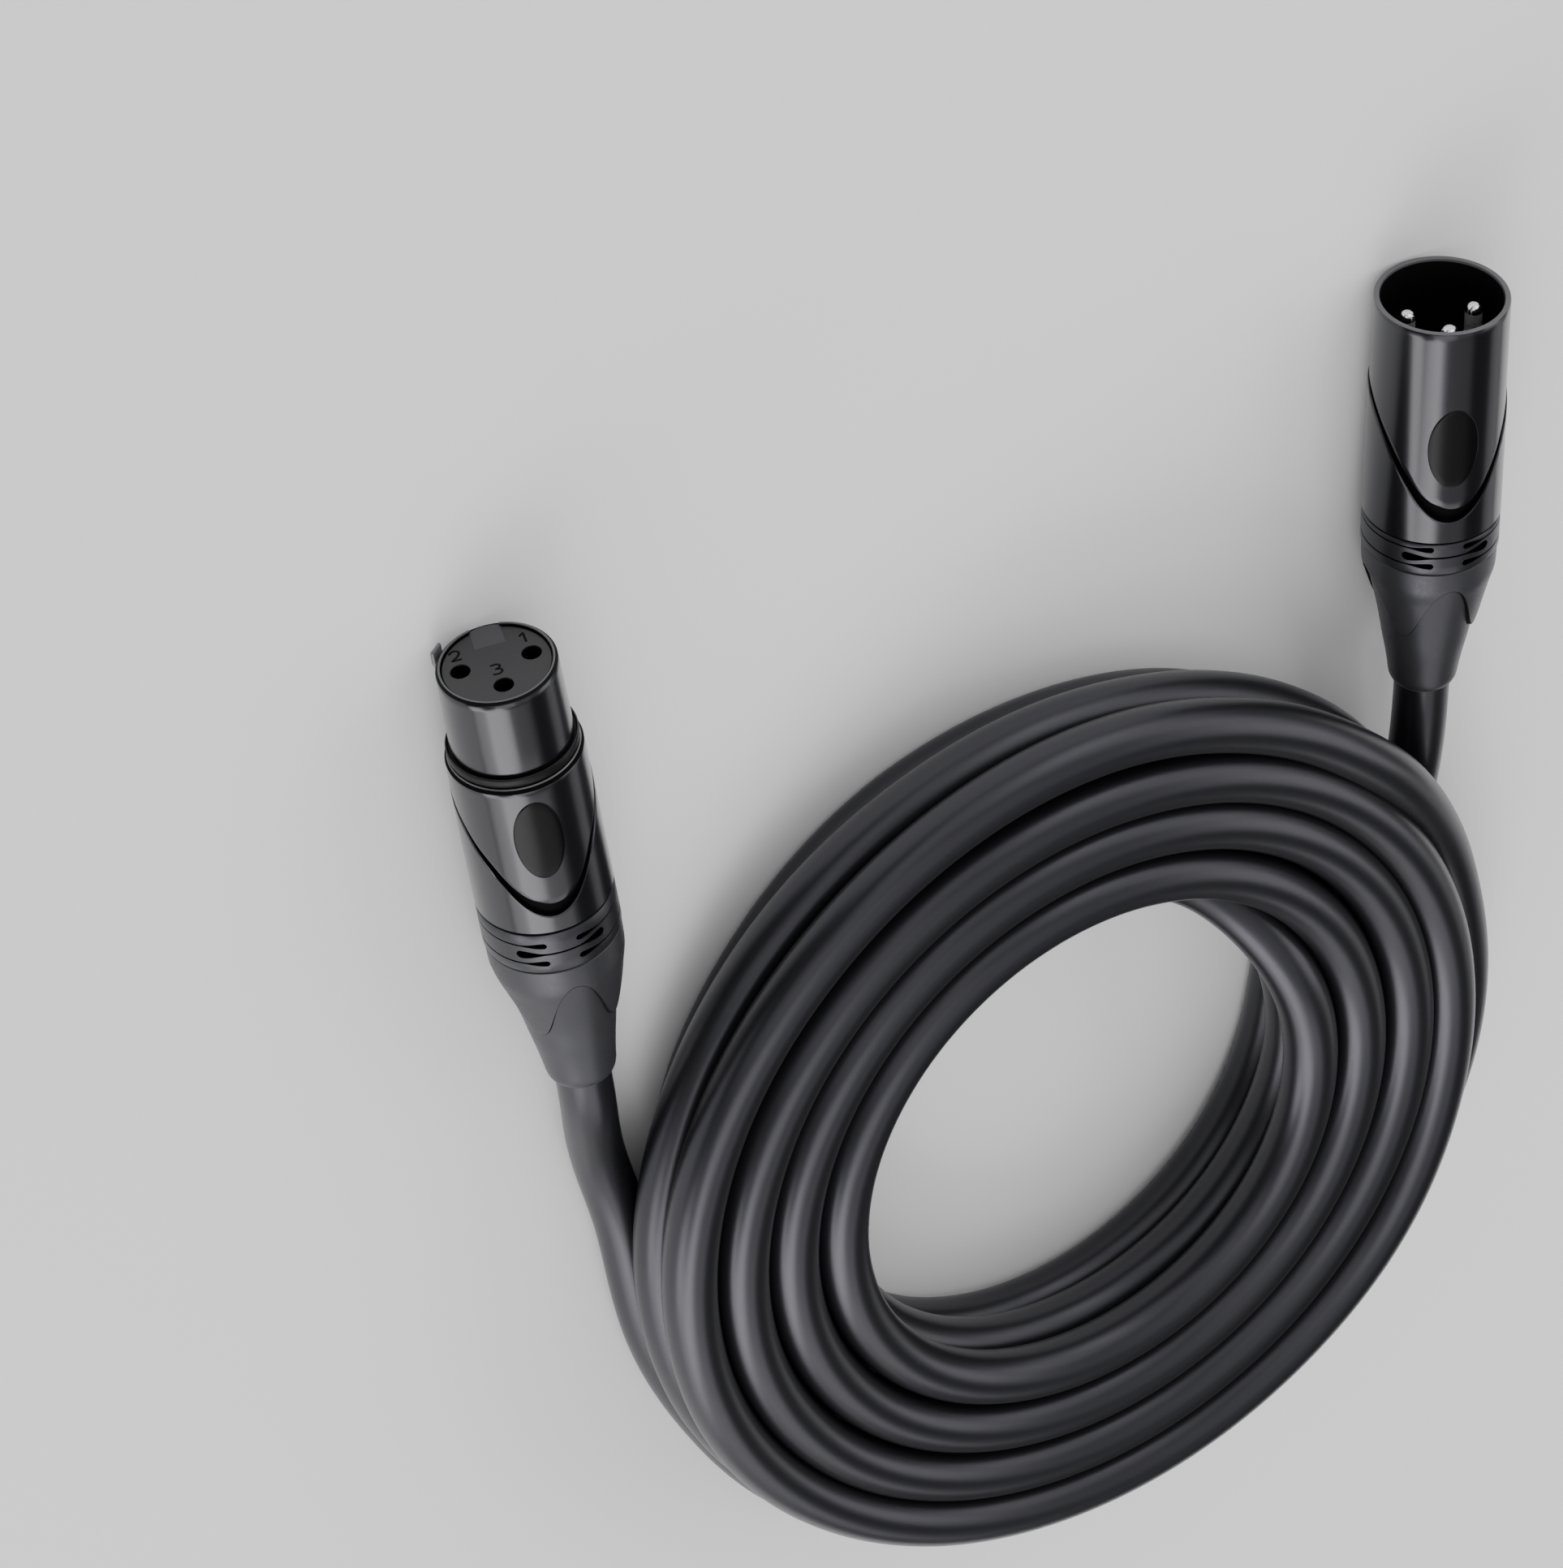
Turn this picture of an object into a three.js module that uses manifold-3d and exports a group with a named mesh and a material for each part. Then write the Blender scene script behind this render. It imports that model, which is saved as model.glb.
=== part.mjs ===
// Three-pole microphone cable with its two connectors, wound into a flat coil.
// Millimetres, +Z up. The coil and both connectors lie on the plane z = 0.
// The origin is on that plane, below the middle of the box round the two connectors.
import * as THREE from 'three';
import * as BufferGeometryUtils from 'three/addons/utils/BufferGeometryUtils.js';
import Module from 'manifold-3d';

const wasm = await Module();
wasm.setup();

// ---- driving dimensions ----------------------------------------------------------------
const degrees = THREE.MathUtils.degToRad;

const CABLE_R = 3.75;
const LAYER = 7.6;                    // height from one layer of turns to the next
const LAYERS = 3;
const COIL_R_IN = 31.8;
const COIL_R_OUT = 69.5;
const COIL_H = 2 * CABLE_R + (LAYERS - 1) * LAYER;
const COIL_CENTRE = [-14.45, 73.65];
const GAP = 0.3;                      // clearance between pieces that meet

const AXIS_H = 9.4;                   // height of both connector axes above the plane
const MALE_PLACE = { x: -72.28, y: -38.25, yaw: 0 };
const FEMALE_PLACE = { x: 73.77, y: -33.83, yaw: degrees(10.82) };
const ROLL = degrees(19);             // both connectors lie turned a little to one side

// Distances along a connector run from its mating face towards the cable.
const CORE_R = 9.1;                   // front half of both bodies
const SLEEVE_R = 9.35;                // raised rear half, with a slanting front edge
const EDGE_SLOPE = 1.98;
const BODY_BORE = 8.0;
const MALE = { body: 33.5, band: 39.4, boot: 62.3, edge: 10, tip: 30.5, contactEnd: 27.5 };
const FEMALE = { body: 40.0, band: 46.9, boot: 72.6, edge: 18, tip: 36.9, contactEnd: 32.5 };

const CUP_R = 8.25;                   // inside of the male cup
const CUP_DEPTH = 15.5;
const MALE_INSERT_END = 24.6;
const NOSE_R = 8.0;                   // female nose, which enters the cup
const NOSE_BORE = 7.6;
const NOSE_LEN = 12.4;
const FACE_INSET = 0.6;
const FEMALE_INSERT_END = 29;

const CONTACTS = [[-4.6, -0.5], [4.6, -0.5], [0, 4.0]];   // 1, 2 and 3: across, up
const PIN_R = 1.2;
const PIN_TIP = 2.2;                  // how far the pins stay behind the rim
const SOCKET_R = 1.5;
const SOCKET_BORE = 1.25;
const HOLE_R = 1.4;
const KEY = { width: 4.1, low: 3.9, depth: 10 };

const LATCH_TURN = degrees(150);      // round the axis, from the top
const LATCH_W = 2.6;
const LATCH_SLOT = { width: 3.1, low: 5.9 };
const PIVOT = { t: 27, r: 6.95, radius: 0.45, length: 5.6 };

const SEG = 48;                       // facets round a connector
const SEG_SMALL = 16;

// ---- materials -------------------------------------------------------------------------
const SHELL = [0x1c1c20, 0.35, 0.6];
const INLAY = [0x141417, 0.15, 0.0];
const INSERT = [0x3a3a3e, 0.6, 0.0];
const SILVER = [0xd8d8dc, 0.2, 1.0];
const STEEL = [0x8c8c90, 0.4, 1.0];
const NYLON = [0x26262a, 0.6, 0.0];
const BOOT = [0x4a4a4f, 0.6, 0.0];
const RUBBER = [0x0c0c0e, 0.7, 0.0];
const JACKET = [0x2b2b2f, 0.55, 0.0];

// ---- solids ----------------------------------------------------------------------------
function solid(geometry) {
  const bare = geometry.clone();
  bare.deleteAttribute('normal');
  bare.deleteAttribute('uv');
  const merged = BufferGeometryUtils.mergeVertices(bare, 1e-4);
  return new wasm.Manifold(new wasm.Mesh({
    numProp: 3,
    vertProperties: new Float32Array(merged.attributes.position.array),
    triVerts: new Uint32Array(merged.index.array),
  }));
}

function geometryOf(manifold) {
  const mesh = manifold.getMesh();
  const geometry = new THREE.BufferGeometry();
  const points = new Float32Array(mesh.vertProperties);
  geometry.setAttribute('position', new THREE.BufferAttribute(points, 3));
  geometry.setIndex(new THREE.BufferAttribute(new Uint32Array(mesh.triVerts), 1));
  geometry.computeVertexNormals();
  return geometry;
}

function cut(body, ...tools) {
  return tools.reduce((left, tool) => left.subtract(solid(tool)), body);
}

function piece(name, shape, [color, roughness, metalness]) {
  const geometry = shape instanceof THREE.BufferGeometry ? shape : geometryOf(shape);
  const mesh = new THREE.Mesh(geometry, new THREE.MeshStandardMaterial({ color, roughness, metalness }));
  mesh.name = name;
  return mesh;
}

// A turned shape round a connector's axis, from points [distance from the face, radius].
// The section closes on itself, or starts and ends on the axis.
function turned(points, segments = SEG) {
  const profile = points.map(([t, r]) => new THREE.Vector2(r, t));
  if (points[0][1] > 0) profile.push(profile[0].clone());
  return new THREE.LatheGeometry(profile, segments);
}

function sleeve(from, to, inner, outer, segments = SEG) {
  return turned([[from, inner], [from, outer], [to, outer], [to, inner]], segments);
}

function rod(from, to, radius, across = 0, up = 0, segments = SEG_SMALL) {
  const geometry = new THREE.CylinderGeometry(radius, radius, to - from, segments);
  return geometry.translate(across, (from + to) / 2, up);
}

// A box given by its span along the axis, its width across it and its span outwards.
function block(from, to, width, low, high) {
  const geometry = new THREE.BoxGeometry(width, to - from, high - low);
  return geometry.translate(0, (from + to) / 2, (low + high) / 2);
}

// A plate of the given width whose outline is drawn as [distance from the face, radius].
function plate(outline, width, holes = []) {
  const shape = new THREE.Shape(outline.map(([t, r]) => new THREE.Vector2(r, t)));
  for (const hole of holes) {
    shape.holes.push(new THREE.Path().absarc(hole.r, hole.t, hole.radius, 0, Math.PI * 2, true));
  }
  const geometry = new THREE.ExtrudeGeometry(shape, { depth: width, bevelEnabled: false, curveSegments: 8 });
  geometry.translate(0, 0, -width / 2);
  return geometry.rotateY(-Math.PI / 2);
}

// ---- what both connectors have -----------------------------------------------------------
// The raised rear half of the body, cut off in front by a slanting plane.
function raisedSleeve(lengths) {
  const size = 80;
  const cutter = new THREE.BoxGeometry(size, size, size);
  cutter.translate(0, -size / 2, 0);
  cutter.rotateX(-Math.atan(EDGE_SLOPE));
  cutter.translate(0, lengths.tip - EDGE_SLOPE * SLEEVE_R, 0);
  return cut(solid(sleeve(lengths.edge, lengths.body, BODY_BORE + 0.4, SLEEVE_R)), cutter);
}

function oval(middle, halfLength, halfWidth, low, depth) {
  const shape = new THREE.Shape();
  shape.absellipse(0, middle, halfWidth, halfLength, 0, Math.PI * 2);
  const plug = new THREE.ExtrudeGeometry(shape, { depth, bevelEnabled: false, curveSegments: 10 });
  return plug.translate(0, 0, low);
}

function inlay({ middle, half }) {
  const skin = rod(middle - 10, middle + 10, CORE_R + 0.05, 0, 0, SEG * 2);
  return solid(oval(middle, half, 3.4, 8.75, 1)).intersect(solid(skin));
}

function inlayPocket({ middle, half }) {
  return oval(middle, half + 0.15, 3.55, 8.5, 1);
}

function bushing({ body, band }) {
  return turned([
    [body - 5, 6.7], [body - 5, 7.6], [body + GAP, 7.6], [body + GAP, SLEEVE_R - 0.05],
    [band, SLEEVE_R - 0.05], [band, 6.7],
  ]);
}

function boot({ band, boot: end }) {
  return turned([
    [band + GAP, 6.7], [band + GAP, 9.15], [end - 20, 9.0], [end - 17.5, 8.35], [end - 13, 7.1],
    [end - 7, 5.75], [end - 0.9, 4.75], [end, 4.3], [end, CABLE_R + 0.2], [end - 12, CABLE_R + 0.2],
    [end - 14, 6.0], [end - 16, 6.7],
  ]);
}

function chuck({ body }) {
  const tube = solid(sleeve(body - 1, body + 9, CABLE_R + GAP, 6.3, 32));
  return cut(tube, block(body - 2, body + 7, 1.2, 0, 8));
}

// The end of the jacket in the chuck, and the three cores that run on to the contacts.
function cableEnd({ body, boot: end, contactEnd }) {
  const start = body + 0.5;
  let wires = solid(rod(start, end - 0.1, CABLE_R, 0, 0, 24));
  for (const [across, up] of CONTACTS) {
    const from = new THREE.Vector3(across * 0.35, start + 1, up * 0.35);
    const to = new THREE.Vector3(across, contactEnd + GAP, up);
    const way = to.clone().sub(from);
    const core = new THREE.CylinderGeometry(0.8, 0.8, way.length(), 10);
    const turn = new THREE.Quaternion().setFromUnitVectors(new THREE.Vector3(0, 1, 0), way.normalize());
    core.applyQuaternion(turn);
    core.translate(...from.add(to).multiplyScalar(0.5).toArray());
    wires = wires.add(solid(core));
  }
  return wires;
}

function sharedPieces(prefix, lengths) {
  return [
    piece(`${prefix}_bushing`, bushing(lengths), BOOT),
    piece(`${prefix}_boot`, boot(lengths), BOOT),
    piece(`${prefix}_chuck`, chuck(lengths), NYLON),
    piece(`${prefix}_cable_end`, cableEnd(lengths), JACKET),
  ];
}

// Pieces turned together round the connector's axis.
function turnedGroup(angle, pieces) {
  const group = new THREE.Group();
  group.rotation.y = angle;
  return group.add(...pieces);
}

function connector(place, groups) {
  const whole = new THREE.Group();
  whole.position.set(place.x, place.y, AXIS_H);
  whole.rotation.z = place.yaw;
  return whole.add(...groups);
}

// ---- male connector ----------------------------------------------------------------------
const MALE_INLAY = { middle: 18.6, half: 6.2 };

function maleShell() {
  const core = solid(turned([
    [0, CUP_R], [0, CORE_R], [MALE.body, CORE_R], [MALE.body, BODY_BORE],
    [CUP_DEPTH, BODY_BORE], [CUP_DEPTH, CUP_R],
  ]));
  return cut(core.add(raisedSleeve(MALE)), inlayPocket(MALE_INLAY));
}

function maleInsert() {
  const body = solid(rod(CUP_DEPTH, MALE_INSERT_END, BODY_BORE - GAP, 0, 0, SEG));
  return cut(body, ...CONTACTS.map(([across, up]) => rod(CUP_DEPTH - 1, 26, PIN_R + 0.15, across, up)));
}

function malePin([across, up]) {
  const steps = 5;
  const points = [];
  for (let i = 0; i <= steps; i += 1) {
    const angle = (i / steps) * (Math.PI / 2);
    points.push([PIN_TIP + PIN_R * (1 - Math.cos(angle)), PIN_R * Math.sin(angle)]);
  }
  points.push([MALE.contactEnd, PIN_R], [MALE.contactEnd, 0]);
  return turned(points, SEG_SMALL).translate(across, 0, up);
}

function male() {
  const pieces = [
    piece('male_shell', maleShell(), SHELL),
    piece('male_inlay', inlay(MALE_INLAY), INLAY),
    piece('male_insert', maleInsert(), INSERT),
    piece('male_ground_clip', sleeve(25, 26.2, 6.4, BODY_BORE - GAP, 32), STEEL),
    ...sharedPieces('male', MALE),
  ];
  CONTACTS.forEach((place, i) => pieces.push(piece(`male_pin_${i + 1}`, malePin(place), SILVER)));
  return connector(MALE_PLACE, [turnedGroup(ROLL, pieces)]);
}

// ---- female connector --------------------------------------------------------------------
const FEMALE_INLAY = { middle: 23.5, half: 6.6 };
const SHOULDER = NOSE_LEN + 1.7;
const STEP = 12;                      // where the bore widens behind the nose

// The channel the latch works in, through the insert and the wall of the nose.
function latchSlot(from, to, low = LATCH_SLOT.low, high = 12) {
  return block(from, to, LATCH_SLOT.width, low, high).rotateY(LATCH_TURN - ROLL);
}

function keySlot(from, to, low) {
  return block(from, to, KEY.width, low, 12).rotateY(Math.PI);
}

function femaleShell() {
  const core = solid(turned([
    [0, NOSE_BORE], [0, NOSE_R], [SHOULDER, NOSE_R], [SHOULDER, CORE_R - 0.05], [FEMALE.body, CORE_R],
    [FEMALE.body, BODY_BORE], [STEP, BODY_BORE], [STEP, NOSE_BORE],
  ]));
  return cut(
    core.add(raisedSleeve(FEMALE)), inlayPocket(FEMALE_INLAY), keySlot(-1, KEY.depth, 7),
    latchSlot(2.4, STEP + 0.2), latchSlot(15.2, 22.6),
  );
}

function femaleInsert() {
  const front = NOSE_BORE - GAP;
  const rear = BODY_BORE - GAP;
  const body = solid(turned([
    [FACE_INSET, 0], [FACE_INSET, front], [STEP + GAP, front], [STEP + GAP, rear],
    [FEMALE_INSERT_END, rear], [FEMALE_INSERT_END, 0],
  ]));
  const holes = CONTACTS.map(([across, up]) => rod(0, 3, HOLE_R, across, up));
  const chambers = CONTACTS.map(([across, up]) => rod(2.2, 30, SOCKET_R + 0.2, across, up));
  const cross = new THREE.CylinderGeometry(PIVOT.radius + 0.03, PIVOT.radius + 0.03, 12, SEG_SMALL);
  cross.rotateZ(Math.PI / 2).translate(0, PIVOT.t, PIVOT.r).rotateY(LATCH_TURN - ROLL);
  return cut(
    body, ...holes, ...chambers, keySlot(0, KEY.depth, KEY.low), latchSlot(2.4, 30), cross,
  );
}

function femaleSocket([across, up]) {
  const end = FEMALE.contactEnd;
  return turned([
    [18, 0], [18, SOCKET_BORE], [2.5, SOCKET_BORE], [2.5, SOCKET_R], [end, SOCKET_R], [end, 0],
  ], SEG_SMALL).translate(across, 0, up);
}

function groundClip() {
  return cut(solid(sleeve(29.6, 30.8, 6.4, BODY_BORE - GAP, 32)), latchSlot(28, 32));
}

function latch() {
  return plate([
    [2.8, 6.6], [2.8, 7.7], [5.2, 9.3], [6.8, 9.3], [7.4, 7.7], [15.5, 7.7], [16.2, 9.55], [21.6, 9.55],
    [22.3, 7.7], [28.3, 7.7], [28.3, 6.2], [25.6, 6.2], [25.2, 6.6],
  ], LATCH_W, [{ t: PIVOT.t, r: PIVOT.r, radius: PIVOT.radius + 0.05 }]);
}

function latchSpring() {
  return plate([[19.6, 6.2], [19.6, 6.4], [22.6, 6.25], [24.8, 6.2], [24.8, 6.0], [22.6, 6.05]], 2.2);
}

function latchPin() {
  const { t, r, radius, length } = PIVOT;
  return new THREE.CylinderGeometry(radius, radius, length, SEG_SMALL).rotateZ(Math.PI / 2).translate(0, t, r);
}

function latchPieces() {
  return [
    piece('female_latch', latch(), NYLON),
    piece('female_latch_spring', latchSpring(), STEEL),
    piece('female_latch_pin', latchPin(), STEEL),
  ];
}

function female() {
  const pieces = [
    piece('female_shell', femaleShell(), SHELL),
    piece('female_inlay', inlay(FEMALE_INLAY), INLAY),
    piece('female_insert', femaleInsert(), INSERT),
    piece('female_seal_ring', sleeve(NOSE_LEN + 0.1, SHOULDER - 0.2, NOSE_R + 0.2, 9.0), RUBBER),
    piece('female_ground_clip', groundClip(), STEEL),
    ...sharedPieces('female', FEMALE),
  ];
  CONTACTS.forEach((place, i) => {
    pieces.push(piece(`female_socket_${i + 1}`, femaleSocket(place), SILVER));
  });
  const latchGroup = turnedGroup(LATCH_TURN, latchPieces());
  return connector(FEMALE_PLACE, [turnedGroup(ROLL, pieces), latchGroup]);
}

// ---- cable -------------------------------------------------------------------------------
function coil() {
  const soft = 2.2;
  const profile = [
    [COIL_R_IN + soft, 0], [COIL_R_OUT - soft, 0], [COIL_R_OUT, soft], [COIL_R_OUT, COIL_H - soft],
    [COIL_R_OUT - soft, COIL_H], [COIL_R_IN + soft, COIL_H], [COIL_R_IN, COIL_H - soft], [COIL_R_IN, soft],
    [COIL_R_IN + soft, 0],
  ];
  const ring = new THREE.LatheGeometry(profile.map(([r, z]) => new THREE.Vector2(r, z)), 72);
  ring.rotateX(Math.PI / 2);
  return ring.translate(...COIL_CENTRE, 0);
}

// A straight or curved stretch of cable that stops just short of the coil.
function lead(points) {
  const path = new THREE.CatmullRomCurve3(points.map((point) => new THREE.Vector3(...point)));
  const section = new THREE.Shape().absarc(0, 0, CABLE_R, 0, Math.PI * 2);
  const tube = new THREE.ExtrudeGeometry(section, {
    steps: 6, bevelEnabled: false, extrudePath: path, curveSegments: 12,
  });
  const keepOut = new THREE.CylinderGeometry(COIL_R_OUT + GAP, COIL_R_OUT + GAP, 60, 72);
  keepOut.rotateX(Math.PI / 2).translate(...COIL_CENTRE, 0);
  return cut(solid(tube), keepOut);
}

// The first point of a lead: its connector's cable exit.
function exitOf(place, lengths, beyond) {
  const along = lengths.boot + beyond;
  return [place.x - along * Math.sin(place.yaw), place.y + along * Math.cos(place.yaw), AXIS_H];
}

function cables() {
  const maleExit = [exitOf(MALE_PLACE, MALE, GAP), exitOf(MALE_PLACE, MALE, 4)];
  const femaleExit = [exitOf(FEMALE_PLACE, FEMALE, GAP), exitOf(FEMALE_PLACE, FEMALE, 4)];
  return [
    piece('cable_coil', coil(), JACKET),
    piece('male_lead', lead([...maleExit, [-72.28, 44, 8.2]]), JACKET),
    piece('female_lead', lead([...femaleExit, [55, 56, 6.2], [51.5, 66, 4.8]]), JACKET),
  ];
}

const cableWithConnectors = new THREE.Group();
cableWithConnectors.add(male(), female(), ...cables());
export default cableWithConnectors;
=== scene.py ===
import math

import bmesh
import bpy
import numpy as np
from mathutils import Matrix, Vector


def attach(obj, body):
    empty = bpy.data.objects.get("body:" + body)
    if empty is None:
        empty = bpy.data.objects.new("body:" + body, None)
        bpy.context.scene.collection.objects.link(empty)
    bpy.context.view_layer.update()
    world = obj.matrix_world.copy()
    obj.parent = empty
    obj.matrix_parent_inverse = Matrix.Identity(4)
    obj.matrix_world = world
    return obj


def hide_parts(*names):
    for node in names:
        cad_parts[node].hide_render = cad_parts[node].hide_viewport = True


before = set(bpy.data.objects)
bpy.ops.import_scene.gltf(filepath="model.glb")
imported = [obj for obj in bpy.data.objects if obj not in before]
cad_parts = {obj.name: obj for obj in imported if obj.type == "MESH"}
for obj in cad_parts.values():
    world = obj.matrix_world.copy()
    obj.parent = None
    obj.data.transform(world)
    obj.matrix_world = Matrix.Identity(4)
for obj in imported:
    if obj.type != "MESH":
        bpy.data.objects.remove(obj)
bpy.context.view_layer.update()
BODY = "cable_and_connectors"
MM = 0.001

# ---- camera -------------------------------------------------------------------------------
SENSOR_WIDTH = 36                     # mm
LENS = 343.31                         # mm
COIL_TURN = math.radians(11.86)       # winding angles below are counted from this direction
COIL_X, COIL_Y = -14.45, 73.65        # middle of the coil


def from_coil(point):
    """A point or direction given round the coil's middle, in the row frame (mm)."""
    x, y, z = point
    c, s = math.cos(COIL_TURN), math.sin(COIL_TURN)
    return Vector((x * c - y * s, x * s + y * c, z))


def make_camera():
    """The photograph's view, as axes and a place found from the outline of the coil."""
    right = from_coil((-0.83138964, 0.1569695, 0.53305894))
    up = from_coil((-0.46764259, -0.71581255, -0.51857767))
    back = from_coil((0.3001694, -0.68042117, 0.66852476))
    where = (from_coil((613.08, -1402.70, 1310.53)) + Vector((COIL_X, COIL_Y, 0))) * MM
    turn = Matrix((right, up, back)).transposed().to_4x4()
    data = bpy.data.cameras.new("camera")
    data.sensor_width = SENSOR_WIDTH
    data.sensor_fit = "HORIZONTAL"
    data.lens = LENS
    data.clip_start = 0.05
    data.clip_end = 50
    camera = bpy.data.objects.new("camera", data)
    camera.matrix_world = Matrix.Translation(where) @ turn
    bpy.context.scene.collection.objects.link(camera)
    bpy.context.scene.camera = camera


make_camera()


# ---- node materials -----------------------------------------------------------------------
RELIEF = 0.0002                       # depth of the grain at full strength, in metres


def material(name, base, rough, metal=0.0, coat=0.0, coat_rough=0.2, spread=0.05,
             grain=(900, 0.02), tint=0.15, patches=60, specular=0.5, cool=False):
    """A surface with a fine grain (scale, strength) and slow changes of colour and roughness."""
    mat = bpy.data.materials.new(name)
    mat.use_nodes = True
    nodes, links = mat.node_tree.nodes, mat.node_tree.links
    shader = nodes["Principled BSDF"]
    place = nodes.new("ShaderNodeTexCoord")

    def noise(scale, detail, roughness=0.55):
        node = nodes.new("ShaderNodeTexNoise")
        node.inputs["Scale"].default_value = scale
        node.inputs["Detail"].default_value = detail
        node.inputs["Roughness"].default_value = roughness
        links.new(place.outputs["Object"], node.inputs["Vector"])
        return node

    slow = noise(patches, 4)
    fine = noise(grain[0] * 2.0, 3, 0.6)
    ramp = nodes.new("ShaderNodeMix")
    ramp.data_type = "RGBA"
    low = [c * (1 - tint) for c in base]
    high = [c * (1 + tint) for c in base]
    ramp.inputs["A"].default_value = (*low, 1)
    ramp.inputs["B"].default_value = (*high, 1)
    links.new(slow.outputs["Fac"], ramp.inputs["Factor"])
    links.new(ramp.outputs["Result"], shader.inputs["Base Color"])
    span = nodes.new("ShaderNodeMapRange")
    span.inputs["From Min"].default_value = 0.3
    span.inputs["From Max"].default_value = 0.7
    span.inputs["To Min"].default_value = max(0.03, rough - spread)
    span.inputs["To Max"].default_value = rough + spread
    links.new(fine.outputs["Fac"], span.inputs["Value"])
    links.new(span.outputs["Result"], shader.inputs["Roughness"])
    bump = nodes.new("ShaderNodeBump")
    bump.inputs["Strength"].default_value = grain[1]
    bump.inputs["Distance"].default_value = RELIEF
    links.new(fine.outputs["Fac"], bump.inputs["Height"])
    links.new(bump.outputs["Normal"], shader.inputs["Normal"])
    shader.inputs["Metallic"].default_value = metal
    shader.inputs["Specular IOR Level"].default_value = specular
    shader.inputs["Coat Weight"].default_value = coat
    shader.inputs["Coat Roughness"].default_value = coat_rough
    if cool:
        shader.inputs["Specular Tint"].default_value = (0.90, 0.89, 1.0, 1)
    return mat


JACKET = material("jacket", (0.0080, 0.0080, 0.0098), 0.34, spread=0.025, grain=(1100, 0.02), tint=0.10,
                  patches=25, specular=0.60, cool=True)
SHELL = material("shell", (0.0035, 0.0035, 0.0048), 0.25, spread=0.01, grain=(700, 0.0015), coat=0.38,
                 coat_rough=0.18, tint=0.08, specular=0.40, cool=True)
# Lighter grey for the faces of rims and for thin edges: painted highlight.
RIM_HIGHLIGHT = material("rim", (0.085, 0.085, 0.090), 0.36, spread=0.05, grain=(1500, 0.02), coat=0.2)
# Duller, lighter grey copy of the silver for the pins' shafts: a painted sheen where bare silver would show dark.
SHAFT_SHEEN = material("pin_shaft_painted_sheen", (0.32, 0.32, 0.33), 0.30, metal=0.55, spread=0.05, grain=(900, 0.03))
INLAY = material("inlay", (0.0022, 0.0022, 0.0028), 0.30, spread=0.02, grain=(400, 0.006), coat=0.07,
                 coat_rough=0.20, specular=0.10)
# Near black with little shine: the real black of the inserts, and painted shade inside the male cup, along the
# boots' edges and on the nose's chamfer.
BLACK_AND_SHADE = material("black_and_painted_shade", (0.0015, 0.0015, 0.0018), 0.6, spread=0.05, specular=0.12)
INSERT = material("insert", (0.020, 0.020, 0.022), 0.45, spread=0.06, grain=(1600, 0.05))
# A lighter copy of the insert for the key slot's floor: painted light.
INSERT_PAINTED_LIGHT = material("insert_painted_light", (0.045, 0.045, 0.049), 0.5, spread=0.06, grain=(1600, 0.05))
# Near black, without shine, for the insides of slots, recesses and chamfers: painted shade.
SHADE_PAINT = material("painted_shade", (0.001, 0.001, 0.0012), 0.7, specular=0.05)
BOOT = material("boot", (0.026, 0.026, 0.029), 0.40, spread=0.06, grain=(1300, 0.04), tint=0.08, cool=True)
BAND = material("band", (0.012, 0.012, 0.014), 0.34, spread=0.05, grain=(1300, 0.04), tint=0.08, cool=True)
SILVER = material("silver", (0.80, 0.80, 0.82), 0.16, metal=1.0, spread=0.05, grain=(900, 0.03))
STEEL = material("steel", (0.45, 0.45, 0.46), 0.35, metal=1.0, spread=0.08)
NYLON = material("nylon", (0.030, 0.030, 0.033), 0.5)
LATCH = material("latch", (0.12, 0.12, 0.125), 0.36, coat=0.2)
RUBBER = material("rubber", (0.003, 0.003, 0.0035), 0.42, specular=0.18)
INK = material("ink", (0.0015, 0.0015, 0.0018), 0.6, specular=0.1)


def dress(node, mat):
    """Gives a CAD node that stays in the picture its surface."""
    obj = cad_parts[node]
    obj.data.materials.clear()
    obj.data.materials.append(mat)


def add(name, verts, faces, mats, replaces=(), body=BODY, which=None, sharp=32):
    """A piece from mesh code. which gives each face's place in mats."""
    mesh = bpy.data.meshes.new(name)
    mesh.from_pydata([tuple(v) for v in verts], [], faces)
    for mat in mats:
        mesh.materials.append(mat)
    if which is not None:
        mesh.polygons.foreach_set("material_index", which)
    mesh.shade_smooth()
    mesh.set_sharp_from_angle(angle=math.radians(sharp))
    mesh.update()
    obj = bpy.data.objects.new(name, mesh)
    bpy.context.scene.collection.objects.link(obj)
    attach(obj, body)
    if replaces:
        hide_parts(*replaces)
    return obj


# ---- the cable ----------------------------------------------------------------------------
CABLE_R = 3.75
CABLE_SIDES = 28
TOP, MIDDLE, LOW = 18.95, 11.35, 3.75      # heights of the three layers of turns

# Both leads, in the row frame (mm), from the boots to the coil.
FEMALE_LEAD = [
    (60.18, 37.28, 9.4), (59.8, 39.2, 9.38), (59.3, 41.6, 9.15), (58.5, 44.6, 8.5), (57.5, 48.2, 7.3),
    (56.2, 52.6, 5.8), (54.6, 57.6, 4.5), (52.9, 62.6, 3.85), (51.0, 68.0, 3.75),
]
MALE_LEAD = [
    (-72.0, 66.5, 3.9), (-72.1, 60.0, 4.5), (-72.2, 54.0, 5.6), (-72.25, 48.0, 6.85),
    (-72.27, 42.5, 7.95), (-72.28, 37.0, 8.8), (-72.28, 32.5, 9.22), (-72.28, 28.5, 9.38),
    (-72.28, 26.0, 9.4), (-72.28, 24.25, 9.4),
]


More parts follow.
